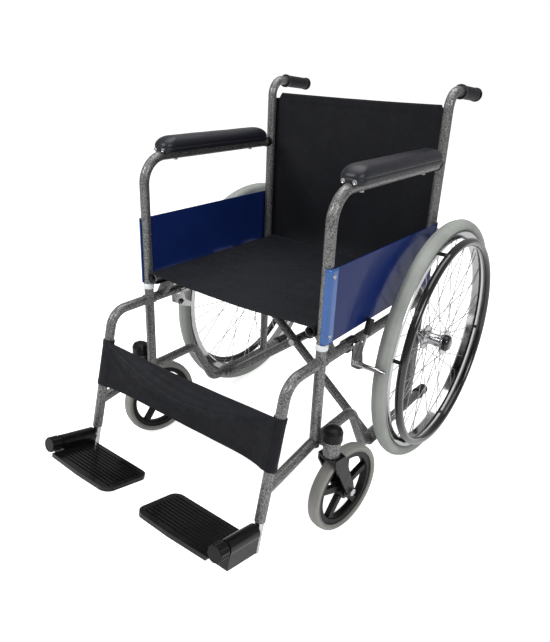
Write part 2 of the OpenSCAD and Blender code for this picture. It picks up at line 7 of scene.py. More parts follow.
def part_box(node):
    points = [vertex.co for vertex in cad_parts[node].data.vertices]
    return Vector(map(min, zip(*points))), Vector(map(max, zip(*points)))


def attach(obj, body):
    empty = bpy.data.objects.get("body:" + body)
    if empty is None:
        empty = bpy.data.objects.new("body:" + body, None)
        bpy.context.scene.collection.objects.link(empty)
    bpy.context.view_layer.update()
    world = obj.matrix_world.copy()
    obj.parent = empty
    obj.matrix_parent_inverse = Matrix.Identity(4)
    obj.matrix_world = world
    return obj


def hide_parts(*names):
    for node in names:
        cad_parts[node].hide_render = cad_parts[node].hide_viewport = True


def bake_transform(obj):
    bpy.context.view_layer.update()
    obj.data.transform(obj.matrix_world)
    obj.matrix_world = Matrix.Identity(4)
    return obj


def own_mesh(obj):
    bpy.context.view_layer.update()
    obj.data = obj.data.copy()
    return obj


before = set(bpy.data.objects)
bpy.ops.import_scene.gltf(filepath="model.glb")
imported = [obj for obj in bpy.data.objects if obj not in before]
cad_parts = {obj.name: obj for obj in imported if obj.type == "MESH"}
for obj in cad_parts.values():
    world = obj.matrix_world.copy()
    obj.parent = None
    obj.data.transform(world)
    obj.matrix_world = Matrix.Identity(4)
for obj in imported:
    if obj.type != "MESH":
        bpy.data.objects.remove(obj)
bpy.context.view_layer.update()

# ---------- measures from the frame ----------


def middle(node):
    low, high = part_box(node)
    return (Vector(low) + Vector(high)) / 2


TUBE = 0.0111
AXLE = middle("rear_tyre_left")
POST = middle("caster_cap_left")
FRAME_X = middle("arm_frame_left").x
AXLE_Y, POST_Y, WHEEL_X = AXLE.y, POST.y, AXLE.x
ARM_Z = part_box("arm_frame_left")[1][2] - TUBE
SEAT_X = FRAME_X - 0.025
SEAT_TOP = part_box("seat_sling_left")[1][2]
SEAT_Z = SEAT_TOP - 0.0015 - TUBE
SEAT_FRONT, SEAT_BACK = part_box("seat_sling_left")[0][1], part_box("seat_sling_left")[1][1]
BACK_LOW, BACK_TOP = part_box("backrest")[0][2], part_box("backrest")[1][2]
HANDLE_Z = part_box("back_post_left")[1][2] - TUBE
PANEL_LOW, PANEL_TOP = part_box("side_panel_left")[0][2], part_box("side_panel_left")[1][2]
LEAN = math.radians(14)
RAIL_Z = 0.403
BEND_Y = POST_Y - 0.109
DOWN = Vector((0, -math.sin(LEAN), -math.cos(LEAN)))
FRONT = Vector((0, -math.cos(LEAN), math.sin(LEAN)))
BRACE_Y = AXLE_Y - 0.176

# ---------- camera ----------

AZIMUTH, PITCH, ROLL = math.radians(37.229), math.radians(23.053), math.radians(2.122)
CAMERA_AT = (0.7823, AXLE_Y - 1.3497, 0.9435)
camera_data = bpy.data.cameras.new("camera")
camera = bpy.data.objects.new("camera", camera_data)
bpy.context.collection.objects.link(camera)
bpy.context.scene.camera = camera
back = Vector((math.sin(AZIMUTH) * math.cos(PITCH), -math.cos(AZIMUTH) * math.cos(PITCH), math.sin(PITCH)))
right = (-back).cross(Vector((0, 0, 1))).normalized()
up = right.cross(-back)
right_r = right * math.cos(ROLL) + up * math.sin(ROLL)
up_r = up * math.cos(ROLL) - right * math.sin(ROLL)
turn = Matrix((right_r, up_r, back)).transposed().to_4x4()
camera.matrix_world = Matrix.Translation(CAMERA_AT) @ turn
camera_data.sensor_width = 36
camera_data.lens = 33.57
camera_data.shift_x = 0.0156
camera_data.shift_y = -0.0128
camera_data.clip_end = 50

# ---------- materials ----------


class Mat:
    """A Principled material, with short calls for the nodes it uses."""

    def __init__(self, name, color, rough, metal=0.0, coat=0.0, coat_rough=0.05, sheen=0.0, shine=0.5):
        self.m = bpy.data.materials.new(name)
        self.m.use_nodes = True
        self.t = self.m.node_tree
        self.b = self.t.nodes["Principled BSDF"]
        self.b.inputs["Base Color"].default_value = (*color, 1)
        self.b.inputs["Roughness"].default_value = rough
        self.b.inputs["Metallic"].default_value = metal
        self.b.inputs["Coat Weight"].default_value = coat
        self.b.inputs["Coat Roughness"].default_value = coat_rough
        self.b.inputs["Sheen Weight"].default_value = sheen
        self.b.inputs["Specular IOR Level"].default_value = shine
        self.m.diffuse_color = (*color, 1)
        self.at = self.t.nodes.new("ShaderNodeTexCoord").outputs["Object"]

    def node(self, kind, **sockets):
        n = self.t.nodes.new(kind)
        for k, v in sockets.items():
            key = k.replace("_", " ")
            if isinstance(v, bpy.types.NodeSocket):
                self.t.links.new(v, n.inputs[key])
            else:
                n.inputs[key].default_value = v
        return n

    def noise(self, scale, detail=3.0):
        n = self.node("ShaderNodeTexNoise", Scale=scale, Detail=detail, Roughness=0.55)
        self.t.links.new(self.at, n.inputs["Vector"])
        return n.outputs["Fac"]

    def cells(self, scale, vector):
        n = self.node("ShaderNodeTexVoronoi", Scale=scale)
        n.feature = "SMOOTH_F1"
        self.t.links.new(vector, n.inputs["Vector"])
        return n.outputs["Distance"]

    def waves(self, scale, axis):
        n = self.node("ShaderNodeTexWave", Scale=scale)
        n.bands_direction = axis
        self.t.links.new(self.at, n.inputs["Vector"])
        return n.outputs["Fac"]

    def ramp(self, fac, stops):
        n = self.node("ShaderNodeValToRGB", Fac=fac)
        while len(n.color_ramp.elements) < len(stops):
            n.color_ramp.elements.new(0.5)
        for e, (p, c) in zip(n.color_ramp.elements, stops):
            e.position = p
            e.color = (*c, 1) if hasattr(c, "__len__") else (c, c, c, 1)
        return n.outputs["Color"]

    def maths(self, op, a, b):
        n = self.t.nodes.new("ShaderNodeMath")
        n.operation = op
        for i, v in enumerate((a, b)):
            if isinstance(v, bpy.types.NodeSocket):
                self.t.links.new(v, n.inputs[i])
            else:
                n.inputs[i].default_value = v
        return n.outputs[0]

    def mix(self, fac, a, b, kind="MIX"):
        n = self.t.nodes.new("ShaderNodeMixRGB")
        n.blend_type = kind
        for i, v in enumerate((fac, a, b)):
            if isinstance(v, bpy.types.NodeSocket):
                self.t.links.new(v, n.inputs[i])
            elif i == 0:
                n.inputs[i].default_value = v
            else:
                n.inputs[i].default_value = (*v, 1)
        return n.outputs[0]

    def set(self, name, value):
        self.t.links.new(value, self.b.inputs[name])
        return self

    def bump(self, height, strength, distance=0.001):
        n = self.node("ShaderNodeBump", Height=height, Strength=strength, Distance=distance)
        self.t.links.new(n.outputs["Normal"], self.b.inputs["Normal"])
        return self


def hammered():
    m = Mat("hammertone", (0.14, 0.14, 0.138), 0.32, 0.6, 0.5, 0.12)
    warp = m.mix(0.006, m.at, m.node("ShaderNodeTexNoise", Scale=260.0, Detail=2.0).outputs["Color"], "ADD")
    cell = m.cells(480, warp)
    fine = m.noise(1500, 2)
    height = m.maths("ADD", cell, m.maths("MULTIPLY", fine, 0.3))
    vein = m.ramp(height, [(0.3, (0.38, 0.38, 0.375)), (0.52, (0.14, 0.14, 0.138)),
                           (0.8, (0.012, 0.012, 0.013))])
    worn = m.ramp(m.noise(9, 4), [(0.3, 0.88), (0.75, 1.06)])
    m.set("Base Color", m.mix(1.0, vein, worn, "MULTIPLY"))
    m.set("Roughness", m.ramp(height, [(0.2, 0.28), (0.8, 0.5)]))
    return m.bump(m.maths("MULTIPLY", height, -1.0), 0.4, 0.0006).m


def plated(name, color, rough, scratch=0.05):
    m = Mat(name, color, rough, 1.0)
    m.set("Roughness", m.ramp(m.noise(26, 5), [(0.3, rough * 0.6), (0.75, rough * 1.8)]))
    m.set("Base Color", m.ramp(m.noise(60, 4), [(0.3, tuple(c * 0.9 for c in color)), (0.7, color)]))
    return m.bump(m.noise(420, 3), scratch, 0.0004).m


def rubber(name, color, rough, grain=600, depth=0.25, shine=0.3):
    m = Mat(name, color, rough, shine=shine)
    patch = m.noise(14, 5)
    dark, light = tuple(c * 0.82 for c in color), tuple(c * 1.1 for c in color)
    m.set("Base Color", m.ramp(patch, [(0.28, dark), (0.72, light)]))
    m.set("Roughness", m.ramp(m.noise(70, 3), [(0.3, rough * 0.86), (0.7, min(1, rough * 1.14))]))
    height = m.maths("ADD", m.noise(grain, 3), m.maths("MULTIPLY", m.noise(grain * 0.25, 2), 0.5))
    return m.bump(height, depth, 0.0006).m


def gloss(name, color, rough, coat=1.0, wave=0.05, shine=0.3):
    m = Mat(name, color, rough, 0.0, coat, 0.04, shine=shine)
    m.set("Base Color", m.ramp(m.noise(11, 4), [(0.3, tuple(c * 0.85 for c in color)), (0.7, color)]))
    m.set("Roughness", m.ramp(m.noise(45, 4), [(0.35, rough * 0.7), (0.7, rough * 1.4)]))
    return m.bump(m.noise(120, 3), wave, 0.0006).m


def woven(name, color, plane, thread=0.0011):
    """Nylon in a plain weave whose threads run along two axes."""
    m = Mat(name, color, 0.62, sheen=0.04, shine=0.16)
    m.b.inputs["Sheen Roughness"].default_value = 0.4
    m.b.inputs["Sheen Tint"].default_value = (0.55, 0.62, 0.8, 1)
    k = 1 / (thread * 20) * 3.1416
    a, b = m.waves(k, plane[0]), m.waves(k, plane[1])
    weave = m.maths("MAXIMUM", a, b)
    cloud = m.noise(22, 5)
    dark, light = tuple(c * 0.72 for c in color), tuple(c * 1.35 for c in color)
    base = m.ramp(cloud, [(0.25, dark), (0.78, light)])
    m.set("Base Color", m.mix(0.35, base, m.ramp(weave, [(0.2, 0.35), (0.9, 1.0)]), "MULTIPLY"))
    m.set("Roughness", m.ramp(m.noise(60, 3), [(0.3, 0.5), (0.75, 0.72)]))
    height = m.maths("ADD", weave, m.maths("MULTIPLY", m.noise(260, 3), 0.8))
    return m.bump(height, 0.3, 0.0006).m


HAMMER = hammered()
CHROME = plated("chrome", (0.52, 0.52, 0.53), 0.12)
STEEL = plated("zinc_steel", (0.4, 0.4, 0.41), 0.26, 0.12)
TYRE = rubber("grey_tyre", (0.285, 0.3, 0.28), 0.6, 500, 0.3)
CASTER_TYRE = rubber("grey_caster_tyre", (0.235, 0.23, 0.215), 0.58, 500, 0.3)
GRIP = rubber("grip_rubber", (0.009, 0.0085, 0.012), 0.42, 900, 0.35)
PAD = rubber("armrest_skin", (0.009, 0.0095, 0.014), 0.36, 1100, 0.3)
PLASTIC = rubber("black_plastic", (0.004, 0.004, 0.0045), 0.36, 1300, 0.15, 0.18)
BLACK = gloss("black_gloss", (0.004, 0.004, 0.0045), 0.12, 0.6)
PLATE = gloss("footplate_gloss", (0.004, 0.004, 0.0045), 0.22, 0.12, shine=0.2)
PAINT = gloss("black_paint", (0.0045, 0.0045, 0.005), 0.3, 0.1, shine=0.2)
BLUE = gloss("blue_panel", (0.006, 0.017, 0.095), 0.14, 0.0, 0.04, shine=0.1)
# a lighter blue for the strips on the side panels' curved front edges: a painted highlight of the curve
# catching the light
HIGHLIGHT_BLUE = gloss("blue_band", (0.03, 0.1, 0.31), 0.2, 0.3, 0.04)
WHITE = gloss("white_clip", (0.7, 0.72, 0.74), 0.3, 0.4)
CLOTH_XY = woven("nylon_seat", (0.0052, 0.0056, 0.0075), "XY")
CLOTH_XZ = woven("nylon_back", (0.0052, 0.0056, 0.0078), "XZ")
CLOTH_ST = woven("nylon_strap", (0.0062, 0.0066, 0.009), "XZ")
THREAD = rubber("thread", (0.014, 0.0145, 0.018), 0.5, 1500, 0.2)

BY_NODE = {
    "arm_frame": HAMMER, "back_post": HAMMER, "side_rail": HAMMER, "lower_rail": HAMMER,
    "cross_brace": HAMMER, "caster_cap": PLASTIC, "push_grip": GRIP, "rail_tip": GRIP,
    "frame_screws": STEEL, "brake_bracket": CHROME, "brake_lever": CHROME, "brake_shoe": CHROME,
    "rear_axle": CHROME, "rear_hub": CHROME, "rear_spokes": STEEL,
    "rear_rim": CHROME, "rear_tyre": TYRE, "handrim": BLACK, "caster_fork": PAINT, "caster_axle": CHROME,
    "caster_wheel": PLASTIC, "caster_tyre": CASTER_TYRE, "footrest_tube": CHROME, "footplate": PLATE,
    "foot_knob": PLASTIC, "brace_bolt": STEEL, "side_panel": BLUE, "arm_pad": PAD, "seat_sling": CLOTH_XY,
    "backrest": CLOTH_XZ, "calf_strap": CLOTH_ST,
}


def repaint(node, mat):
    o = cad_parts[node]
    o.data.materials.clear()
    o.data.materials.append(mat)


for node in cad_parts:
    stem = node.replace("_left", "").replace("_right", "")
    repaint(node, BY_NODE[stem])
# where each lever's black grip starts, and the way it points
GRIP_FOOT_Y, GRIP_FOOT_Z = AXLE_Y - 0.348 + 0.0223, 0.372 + 0.052
GRIP_LEAN = Vector((0, 0.021, 0.05)).normalized()
GRIP_SLACK = 0.0006
for side in ("left", "right"):
    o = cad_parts[f"brake_lever_{side}"]
    o.data.materials.append(GRIP)
    for f in o.data.polygons:
        past_foot = Vector((0, f.center.y - GRIP_FOOT_Y, f.center.z - GRIP_FOOT_Z)).dot(GRIP_LEAN)
        if past_foot > -GRIP_SLACK:
            f.material_index = 1

# ---------- mesh helpers ----------


def finish_mesh(name, bm, mat):
    me = bpy.data.meshes.new(name)
    bm.normal_update()
    bm.to_mesh(me)
    bm.free()
    o = bpy.data.objects.new(name, me)
    bpy.context.collection.objects.link(o)
    me.materials.append(mat)
    for p in me.polygons:
        p.use_smooth = True
    return o


def grid(point, nu, nv, loop_u=False):
    """A bmesh of quads over point(u, v), with u and v from 0 to 1. Returns it and its rows of vertices."""
    bm = bmesh.new()
    cols = nu if loop_u else nu + 1
    rows = [[bm.verts.new(point(i / nu, j / nv)) for i in range(cols)] for j in range(nv + 1)]
    for j in range(nv):
        for i in range(nu):
            k = (i + 1) % cols
            bm.faces.new((rows[j][i], rows[j][k], rows[j + 1][k], rows[j + 1][i]))
    return bm, rows


def bake(o):
    """Applies the object's modifiers to its mesh."""
    deps = bpy.context.evaluated_depsgraph_get()
    me = bpy.data.meshes.new_from_object(o.evaluated_get(deps))
    o.modifiers.clear()
    old = o.data
    o.data = me
    bpy.data.meshes.remove(old)
    return o


def thicken(o, thick):
    s = o.modifiers.new("thick", "SOLIDIFY")
    s.thickness = thick
    s.offset = 0
    s.use_even_offset = True
    return bake(o)


def cut(bm, gone):
    bmesh.ops.delete(bm, geom=[f for f in bm.faces if gone(f.calc_center_median())], context="FACES")


def lathe(name, centre, axis, profile, mat, steps=64):
    """Turns (radius, distance along axis) pairs about the axis."""
    axis = Vector(axis).normalized()
    a = axis.orthogonal().normalized()
    b = axis.cross(a)
    bm = bmesh.new()
    rings = []
    for r, d in profile:
        if r == 0:
            rings.append([bm.verts.new(Vector(centre) + axis * d)])
            continue
        rings.append([bm.verts.new(Vector(centre) + axis * d + (a * math.cos(t) + b * math.sin(t)) * r)
                      for t in (2 * math.pi * i / steps for i in range(steps))])
    for p, q in zip(rings, rings[1:]):
        for i in range(steps):
            j = (i + 1) % steps
            if len(p) == 1:
                bm.faces.new((p[0], q[j], q[i]))
            elif len(q) == 1:
                bm.faces.new((p[i], p[j], q[0]))
            else:
                bm.faces.new((p[i], p[j], q[j], q[i]))
    for ring in (rings[0], rings[-1]):
        if len(ring) > 1:
            bm.faces.new(ring)
    bmesh.ops.recalc_face_normals(bm, faces=bm.faces)
    return finish_mesh(name, bm, mat)


def stitches(name, lines, length=0.0032, gap=0.0022, width=0.00045):
    """Short raised threads along each line of (point, normal) pairs, as one piece."""
    bm = bmesh.new()
    for line in lines:
        run, at = 0.0, 0.0
        for (p, n), (q, m) in zip(line, line[1:]):
            step = (q - p).length
            while at + length < run + step and step > 0:
                t = (at - run) / step
                if t >= 0:
                    c = p.lerp(q, min(1, t + length / step / 2))
                    along = (q - p).normalized()
                    out = n.lerp(m, t).normalized()
                    side = along.cross(out)
                    ring = []
                    for k in range(7):
                        s = k / 6 - 0.5
                        w = width * math.sqrt(max(0.08, 1 - (2 * s) ** 4))
                        mid = c + along * s * length + out * 0.0003
                        ring.append([bm.verts.new(mid + side * w * math.cos(a) + out * w * 0.8 * math.sin(a))
                                     for a in (math.pi * i / 3 for i in range(6))])
                    for r0, r1 in zip(ring, ring[1:]):
                        for i in range(6):
                            bm.faces.new((r0[i], r0[(i + 1) % 6], r1[(i + 1) % 6], r1[i]))
                    bm.faces.new(ring[0][::-1])
                    bm.faces.new(ring[-1])
                at += length + gap
            run += step
    return finish_mesh(name, bm, THREAD)


POINT_MASS = 0.2


def fold(p, scale, seed):
    """A smooth wander between -1 and 1 that is the same on each run."""
    return noise.noise(Vector(p) * scale + Vector((seed, seed * 1.7, seed * 0.3)))


def drape(o, pins, frames, tension, bend, gravity):
    """Hangs a sheet by its pinned points and applies the result."""
    group = o.vertex_groups.new(name="pins")
    for i, w in pins.items():
        group.add([i], w, "REPLACE")
    c = o.modifiers.new("cloth", "CLOTH")
    s = c.settings
    s.vertex_group_mass = "pins"
    s.mass = POINT_MASS
    s.quality = 7
    s.tension_stiffness = s.compression_stiffness = tension
    s.shear_stiffness = tension * 0.5
    s.bending_stiffness = bend
    s.effector_weights.gravity = gravity
    c.point_cache.frame_start, c.point_cache.frame_end = 1, frames
    scene = bpy.context.scene
    for f in range(1, frames + 1):
        scene.frame_set(f)
    bake(o)
    scene.frame_set(1)


THREAD_LIFT = 0.0008


def on_sheet(verts, nx, nz, points):
    """(point, normal) pairs on a draped sheet's front face through fractional grid places."""
    out = []
    row = nx + 1
    for u, v in points:
        fi, fj = u * nx, v * nz
        i, j = min(nx - 1, int(fi)), min(nz - 1, int(fj))
        a, b = fi - i, fj - j
        p00, p10 = verts[j * row + i], verts[j * row + i + 1]
        p01, p11 = verts[(j + 1) * row + i], verts[(j + 1) * row + i + 1]
        p = p00.lerp(p10, a).lerp(p01.lerp(p11, a), b)
        n = (p10 - p00).cross(p01 - p00).normalized()
        if n.y > 0:
            n = -n
        out.append((p + n * THREAD_LIFT, n))
    return out


# ---------- seat ----------

CLOTH_R = TUBE + 0.00095
CLOTH_T = 0.0015
SEAT_SPAN = 2 * SEAT_X
SEAT_INSET = 0.0008
WRAP = math.radians(190)


def seat_path(s):
    """Point across the seat, s in metres from one sewn edge, and the sheet's whole width."""
    tail = 0.016
    arc = WRAP * CLOTH_R
    total = 2 * (tail + arc) + SEAT_SPAN
    flip = 1 if s < total / 2 else -1
    d = s if flip > 0 else total - s
    past = WRAP - math.pi
    if d < tail:
        p = Vector((-SEAT_X + CLOTH_R * math.sin(past), 0, SEAT_Z - CLOTH_R * math.cos(past)))
        p += Vector((math.cos(past), 0, math.sin(past))) * (tail - d)
    elif d < tail + arc:
        a = past - (d - tail) / CLOTH_R
        p = Vector((-SEAT_X + CLOTH_R * math.sin(a), 0, SEAT_Z - CLOTH_R * math.cos(a)))
    else:
        p = Vector((-SEAT_X + d - tail - arc, 0, SEAT_Z + CLOTH_R))
    p.x *= flip
    return p, total


SEAT_TOTAL = seat_path(0)[1]


def seat_point(u, v):
    p, _ = seat_path(u * SEAT_TOTAL)
    y = SEAT_FRONT + SEAT_INSET + v * (SEAT_BACK - SEAT_FRONT - 2 * SEAT_INSET)
    p.y = y
    across = max(0.0, 1 - (p.x / SEAT_X) ** 2)
    if p.z > SEAT_Z + CLOTH_R - 1e-6:
        sag = 0.010 * across * (0.75 + 0.25 * math.sin(math.pi * v))
        tight = min(1, across * 3)
        wrinkle = 0.0011 * fold((p.x * 0.35, y, 0), 26, 3) + 0.0006 * fold((p.x, y * 0.5, 0), 60, 8)
        near_tube = math.exp(-((SEAT_X - abs(p.x)) / 0.05) ** 2)
        pull = 0.0012 * near_tube * math.sin(y * 150 + 2 * fold((p.x, y, 0), 9, 5))
        p.z -= sag - (wrinkle + pull) * tight
    return p


bm, rows = grid(seat_point, 150, 90)
# the sleeves are cut away below, where each brace meets its seat tube
SLOT_HALF = 0.036
cut(bm, lambda c: abs(c.y - BRACE_Y) < SLOT_HALF and c.z < SEAT_Z + 0.003 and abs(c.x) > SEAT_X - 0.03)
seat = finish_mesh("seat", bm, CLOTH_XY)
thicken(seat, CLOTH_T)


def seat_line(x, y):
    """A point on top of the seat and its normal."""
    s = (x + SEAT_X) + (SEAT_TOTAL - SEAT_SPAN) / 2
    u, v = s / SEAT_TOTAL, (y - SEAT_FRONT - SEAT_INSET) / (SEAT_BACK - SEAT_FRONT - 2 * SEAT_INSET)
    return seat_point(u, v) + Vector((0, 0, CLOTH_T / 2)), Vector((0, 0, 1))


def sampled(f, n):
    return [f(i / n) for i in range(n + 1)]


seam_x = SEAT_X - 0.024
lines = [sampled(lambda t, x=x: seat_line(x, SEAT_FRONT + 0.004 + t * (SEAT_BACK - SEAT_FRONT - 0.008)), 80)
         for x in (-seam_x, -seam_x + 0.006, seam_x - 0.006, seam_x)]
lines += [sampled(lambda t, y=y: seat_line(-SEAT_X + 0.003 + t * (SEAT_SPAN - 0.006), y), 80)
          for y in (SEAT_FRONT + 0.003, SEAT_FRONT + 0.018, SEAT_BACK - 0.018)]
seat_thread = stitches("seat_stitching", lines)
for o in (seat, seat_thread):
    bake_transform(o)
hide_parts("seat_sling_left", "seat_sling_right")

# ---------- backrest ----------

STEP_Z = PANEL_TOP + 0.005
BACK_GAP = 0.0003
BACK_R = TUBE + BACK_GAP + CLOTH_T / 2
BACK_DEPTH = 0.014


def back_half(z):
    """Half the sheet's width: it wraps a little round each post above the side panels."""
    t = min(1, max(0, (z - STEP_Z) / 0.004))
    return FRAME_X - 0.002 + t * 0.009


def back_top(x):
    """The sheet's top edge, cut lower at the posts to clear the handle bends."""
    t = min(1, max(0, (abs(x) - FRAME_X + 0.022) / 0.008))
    return BACK_TOP - 0.0012 + t * (HANDLE_Z - 0.0415 - BACK_TOP)


def back_point(u, v):
    low = BACK_LOW + 0.002
    z = low + v * (BACK_TOP - low)
    x = (2 * u - 1) * back_half(z)
    z = low + v * (back_top(x) - low)
    across = max(0.0, 1 - (x / FRAME_X) ** 2)
    z -= 0.003 * across * v ** 6
    y = AXLE_Y + BACK_R + BACK_DEPTH * across
    y += 0.0016 * math.sin(math.pi * u) * fold((x, 0, z * 0.3), 16, 2)
    past = abs(x) - FRAME_X
    if past > 0:
        a = past / BACK_R
        x = math.copysign(FRAME_X + BACK_R * math.sin(a), x)
        y = AXLE_Y + BACK_R * math.cos(a)
    return Vector((x, y, z))


NX, NZ = 120, 92
bm, rows = grid(back_point, NX, NZ)
backrest = finish_mesh("backrest", bm, CLOTH_XZ)
pins = {}
for j in range(NZ + 1):
    for i in range(NX + 1):
        edge = min(i, NX - i)
        if edge < 6:
            pins[j * (NX + 1) + i] = 1.0 if edge < 3 else (6 - edge) / 4
drape(backrest, pins, frames=12, tension=120, bend=1.5, gravity=0.04)
back_rest = [v.co.copy() for v in backrest.data.vertices]


HEM = 0.022
EDGE = 0.049
POST_BAND = 0.016
PROUD = 0.0007
lines = []
for d in (EDGE - 0.006, EDGE):
    for x in (-FRAME_X + d, FRAME_X - d):
        u = (x + FRAME_X) / (2 * FRAME_X)
        lines.append(on_sheet(back_rest, NX, NZ, [(u, t / 90) for t in range(91)]))
tall = BACK_TOP - BACK_LOW
for v in (1 - 0.004 / tall, 1 - HEM / tall, HEM / tall):
    lines.append(on_sheet(back_rest, NX, NZ, [(t / 120, v) for t in range(8, 113)]))
back_thread = stitches("back_stitching", lines)
# the folded hems and the two doubled bands beside the posts stand a little proud
for j in range(NZ + 1):
    for i in range(NX + 1):
        x = i / NX * 2 * FRAME_X
        z = j / NZ * tall
        side_gap = min(x, 2 * FRAME_X - x)
        if side_gap > POST_BAND and (side_gap < EDGE or min(z, tall - z) < HEM):
            backrest.data.vertices[j * (NX + 1) + i].co.y -= PROUD
thicken(backrest, CLOTH_T)
for o in (backrest, back_thread):
    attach(o, "side_left")
    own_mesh(o)
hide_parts("backrest")

# ---------- calf strap ----------

STRAP_START, STRAP_RUN, STRAP_SLACK = 0.0665, 0.107, 0.020
STRAP_BAND, STRAP_PROUD = 0.021, 0.0006
strap_origin = Vector((0, BEND_Y, RAIL_Z)) + DOWN * STRAP_START
SX, SZ = 132, 34


def strap_point(u, v):
    x = -FRAME_X + u * 2 * FRAME_X
    across = max(0.0, 1 - (x / FRAME_X) ** 2)
    run = v * STRAP_RUN
    p = strap_origin + DOWN * run
    p = p + FRONT * (TUBE + 0.0011)
    p.x = x
    p = p - FRONT * STRAP_SLACK * across * (0.55 + 0.45 * v)
    crease = 0.0035 * math.sin(math.pi * u) * fold((x * 2.2, run * 0.8, 0), 9, 6)
    crease += 0.0016 * min(1, 6 * u * (1 - u)) * fold((x * 3.0, run * 1.2 + x * 0.5, 0), 22, 9)
    return p + FRONT * crease


bm, rows = grid(strap_point, SX, SZ)
strap = finish_mesh("calf_strap", bm, CLOTH_ST)
pins = {}
for j in range(SZ + 1):
    for i in range(SX + 1):
        edge = min(i, SX - i)
        if edge < 5:
            pins[j * (SX + 1) + i] = 1.0 if edge < 3 else 0.5
drape(strap, pins, frames=16, tension=60, bend=0.5, gravity=0.3)
strap_rest = [v.co.copy() for v in strap.data.vertices]


lines = [on_sheet(strap_rest, SX, SZ, [(t / 130, v) for t in range(4, 127)])
         for v in (0.02, 0.09, 0.91, 0.98)]
for x in (0.021, 0.027):
    u = x / (2 * FRAME_X)
    lines += [on_sheet(strap_rest, SX, SZ, [(w, t / 40) for t in range(41)]) for w in (u, 1 - u)]
strap_thread = stitches("strap_stitching", lines)
for j in range(SZ + 1):
    for i in range(SX + 1):
        x = i / SX * 2 * FRAME_X
        if j <= 3 or j >= SZ - 3 or x < STRAP_BAND or 2 * FRAME_X - x < STRAP_BAND:
            strap.data.vertices[j * (SX + 1) + i].co += FRONT * STRAP_PROUD
thicken(strap, CLOTH_T)
for o in (strap, strap_thread):
    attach(o, "side_left")
    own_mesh(o)
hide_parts("calf_strap")
for side, s in (("left", 1), ("right", -1)):
    def wrap_point(u, v, s=s):
        a = 2 * math.pi * u
        run = v * STRAP_RUN
        c = strap_origin + DOWN * run
        r = CLOTH_R + 0.0002 + 0.0008 * max(0, fold((math.cos(a), math.sin(a), run * 16), 1.2, 9 + s))
        r += 0.0005 if v < 0.1 or v > 0.9 else 0
        return c + Vector((s * FRAME_X + r * math.cos(a), 0, 0)) + FRONT * r * math.sin(a)

    bm, rows = grid(wrap_point, 40, 34, True)
    wrap = finish_mesh(f"strap_wrap_{side}", bm, CLOTH_ST)
    thicken(wrap, 0.0011)
    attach(wrap, f"side_{side}")

# ---------- armrest pads ----------


def rounded_ring(cx, cy, w, d, r, n=160):
    """Points round a rectangle w by d with corners r, evenly spaced by length."""
    r = min(r, w / 2, d / 2)
    sides = [(w - 2 * r), r * math.pi / 2, (d - 2 * r), r * math.pi / 2] * 2
    total = sum(sides)
    corners = [(1, -1), (1, 1), (-1, 1), (-1, -1)]
    out = []
    for i in range(n):
        s = total * i / n
        k = 0
        while s > sides[k]:
            s -= sides[k]
            k += 1
        q, arc = divmod(k, 2)
        sx, sy = corners[q]
        centre = Vector((cx + sx * (w / 2 - r), cy + sy * (d / 2 - r)))
        head = -math.pi / 2 + q * math.pi / 2
        if arc:
            a = head + s / r
            out.append(centre + Vector((math.cos(a), math.sin(a))) * r)
        else:
            step = Vector((math.cos(head + math.pi / 2), math.sin(head + math.pi / 2)))
            side_len = sides[k]
            out.append(centre + Vector((math.cos(head), math.sin(head))) * r - step * (side_len - s))
    return out


def pad_piece(side):
    low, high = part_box(f"arm_pad_{side}")
    cx, cy = (low[0] + high[0]) / 2, (low[1] + high[1]) / 2
    w, d = high[0] - low[0], high[1] - low[1]
    z0, z1 = low[2], high[2]
    # (height, inset at the sides, inset at the ends): a skirt, a moulded groove, then the crown
    levels = [(z0, 0.0035, 0.0035), (z0 + 0.0012, 0.0016, 0.0016), (z0 + 0.0035, 0.0007, 0.0007),
              (z0 + 0.0085, 0.0001, 0.0001), (z0 + 0.0108, 0.0003, 0.0003), (z0 + 0.0116, 0.0013, 0.0013),
              (z0 + 0.0124, 0.0013, 0.0013), (z0 + 0.0132, 0.0003, 0.0004)]
    crown = z0 + 0.0132
    for k in range(1, 15):
        a = k / 14 * math.pi / 2
        levels.append((crown + (z1 - crown) * math.sin(a), 0.0003 + 0.019 * (1 - math.cos(a)) ** 1.1,
                       0.0004 + 0.034 * (1 - math.cos(a)) ** 0.9))
    bm = bmesh.new()
    rings = []
    for z, inset, end in levels:
        pts = rounded_ring(cx, cy, w - 2 * inset, d - 2 * end, 0.0215 - inset * 0.5)
        ring = []
        for p in pts:
            swell = 0.0006 * fold((p.x, p.y, z), 18, 3)
            ring.append(bm.verts.new((p.x, p.y, z + swell * (1 if z > z0 + 0.02 else 0))))
        rings.append(ring)
    n = len(rings[0])
    for a, b in zip(rings, rings[1:]):
        for i in range(n):
            bm.faces.new((a[i], a[(i + 1) % n], b[(i + 1) % n], b[i]))
    for ring, flip in ((rings[0], True), (rings[-1], False)):
        order = ring[::-1] if flip else ring
        bm.faces.new(order)
    bmesh.ops.triangulate(bm, faces=[f for f in bm.faces if len(f.verts) > 4])
    bmesh.ops.recalc_face_normals(bm, faces=bm.faces)
    o = finish_mesh(f"armrest_{side}", bm, PAD)
    sub = o.modifiers.new("smooth", "SUBSURF")
    sub.levels = sub.render_levels = 1
    bake(o)
    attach(o, f"side_{side}")
    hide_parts(f"arm_pad_{side}")
    for k, dx in enumerate((-0.012, 0.012)):
        button = lathe(f"armrest_plug_{side}_{k}", (cx + dx, low[1] + 0.0012, z0 + 0.006), (0, -1, 0),
                       [(0.0045, -0.003), (0.0045, 0.0006), (0.004, 0.0012), (0.0032, 0.0012),
                        (0.0028, 0.0004), (0.0, 0.0002)], STEEL, 32)
        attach(button, f"side_{side}")


for side in ("left", "right"):
    pad_piece(side)

# ---------- painted-highlight strips on the panels, clips, hub caps, welds ---


PANEL_GAP, PANEL_THICK, HIGHLIGHT_GAP = 0.0004, 0.0026, 0.0008
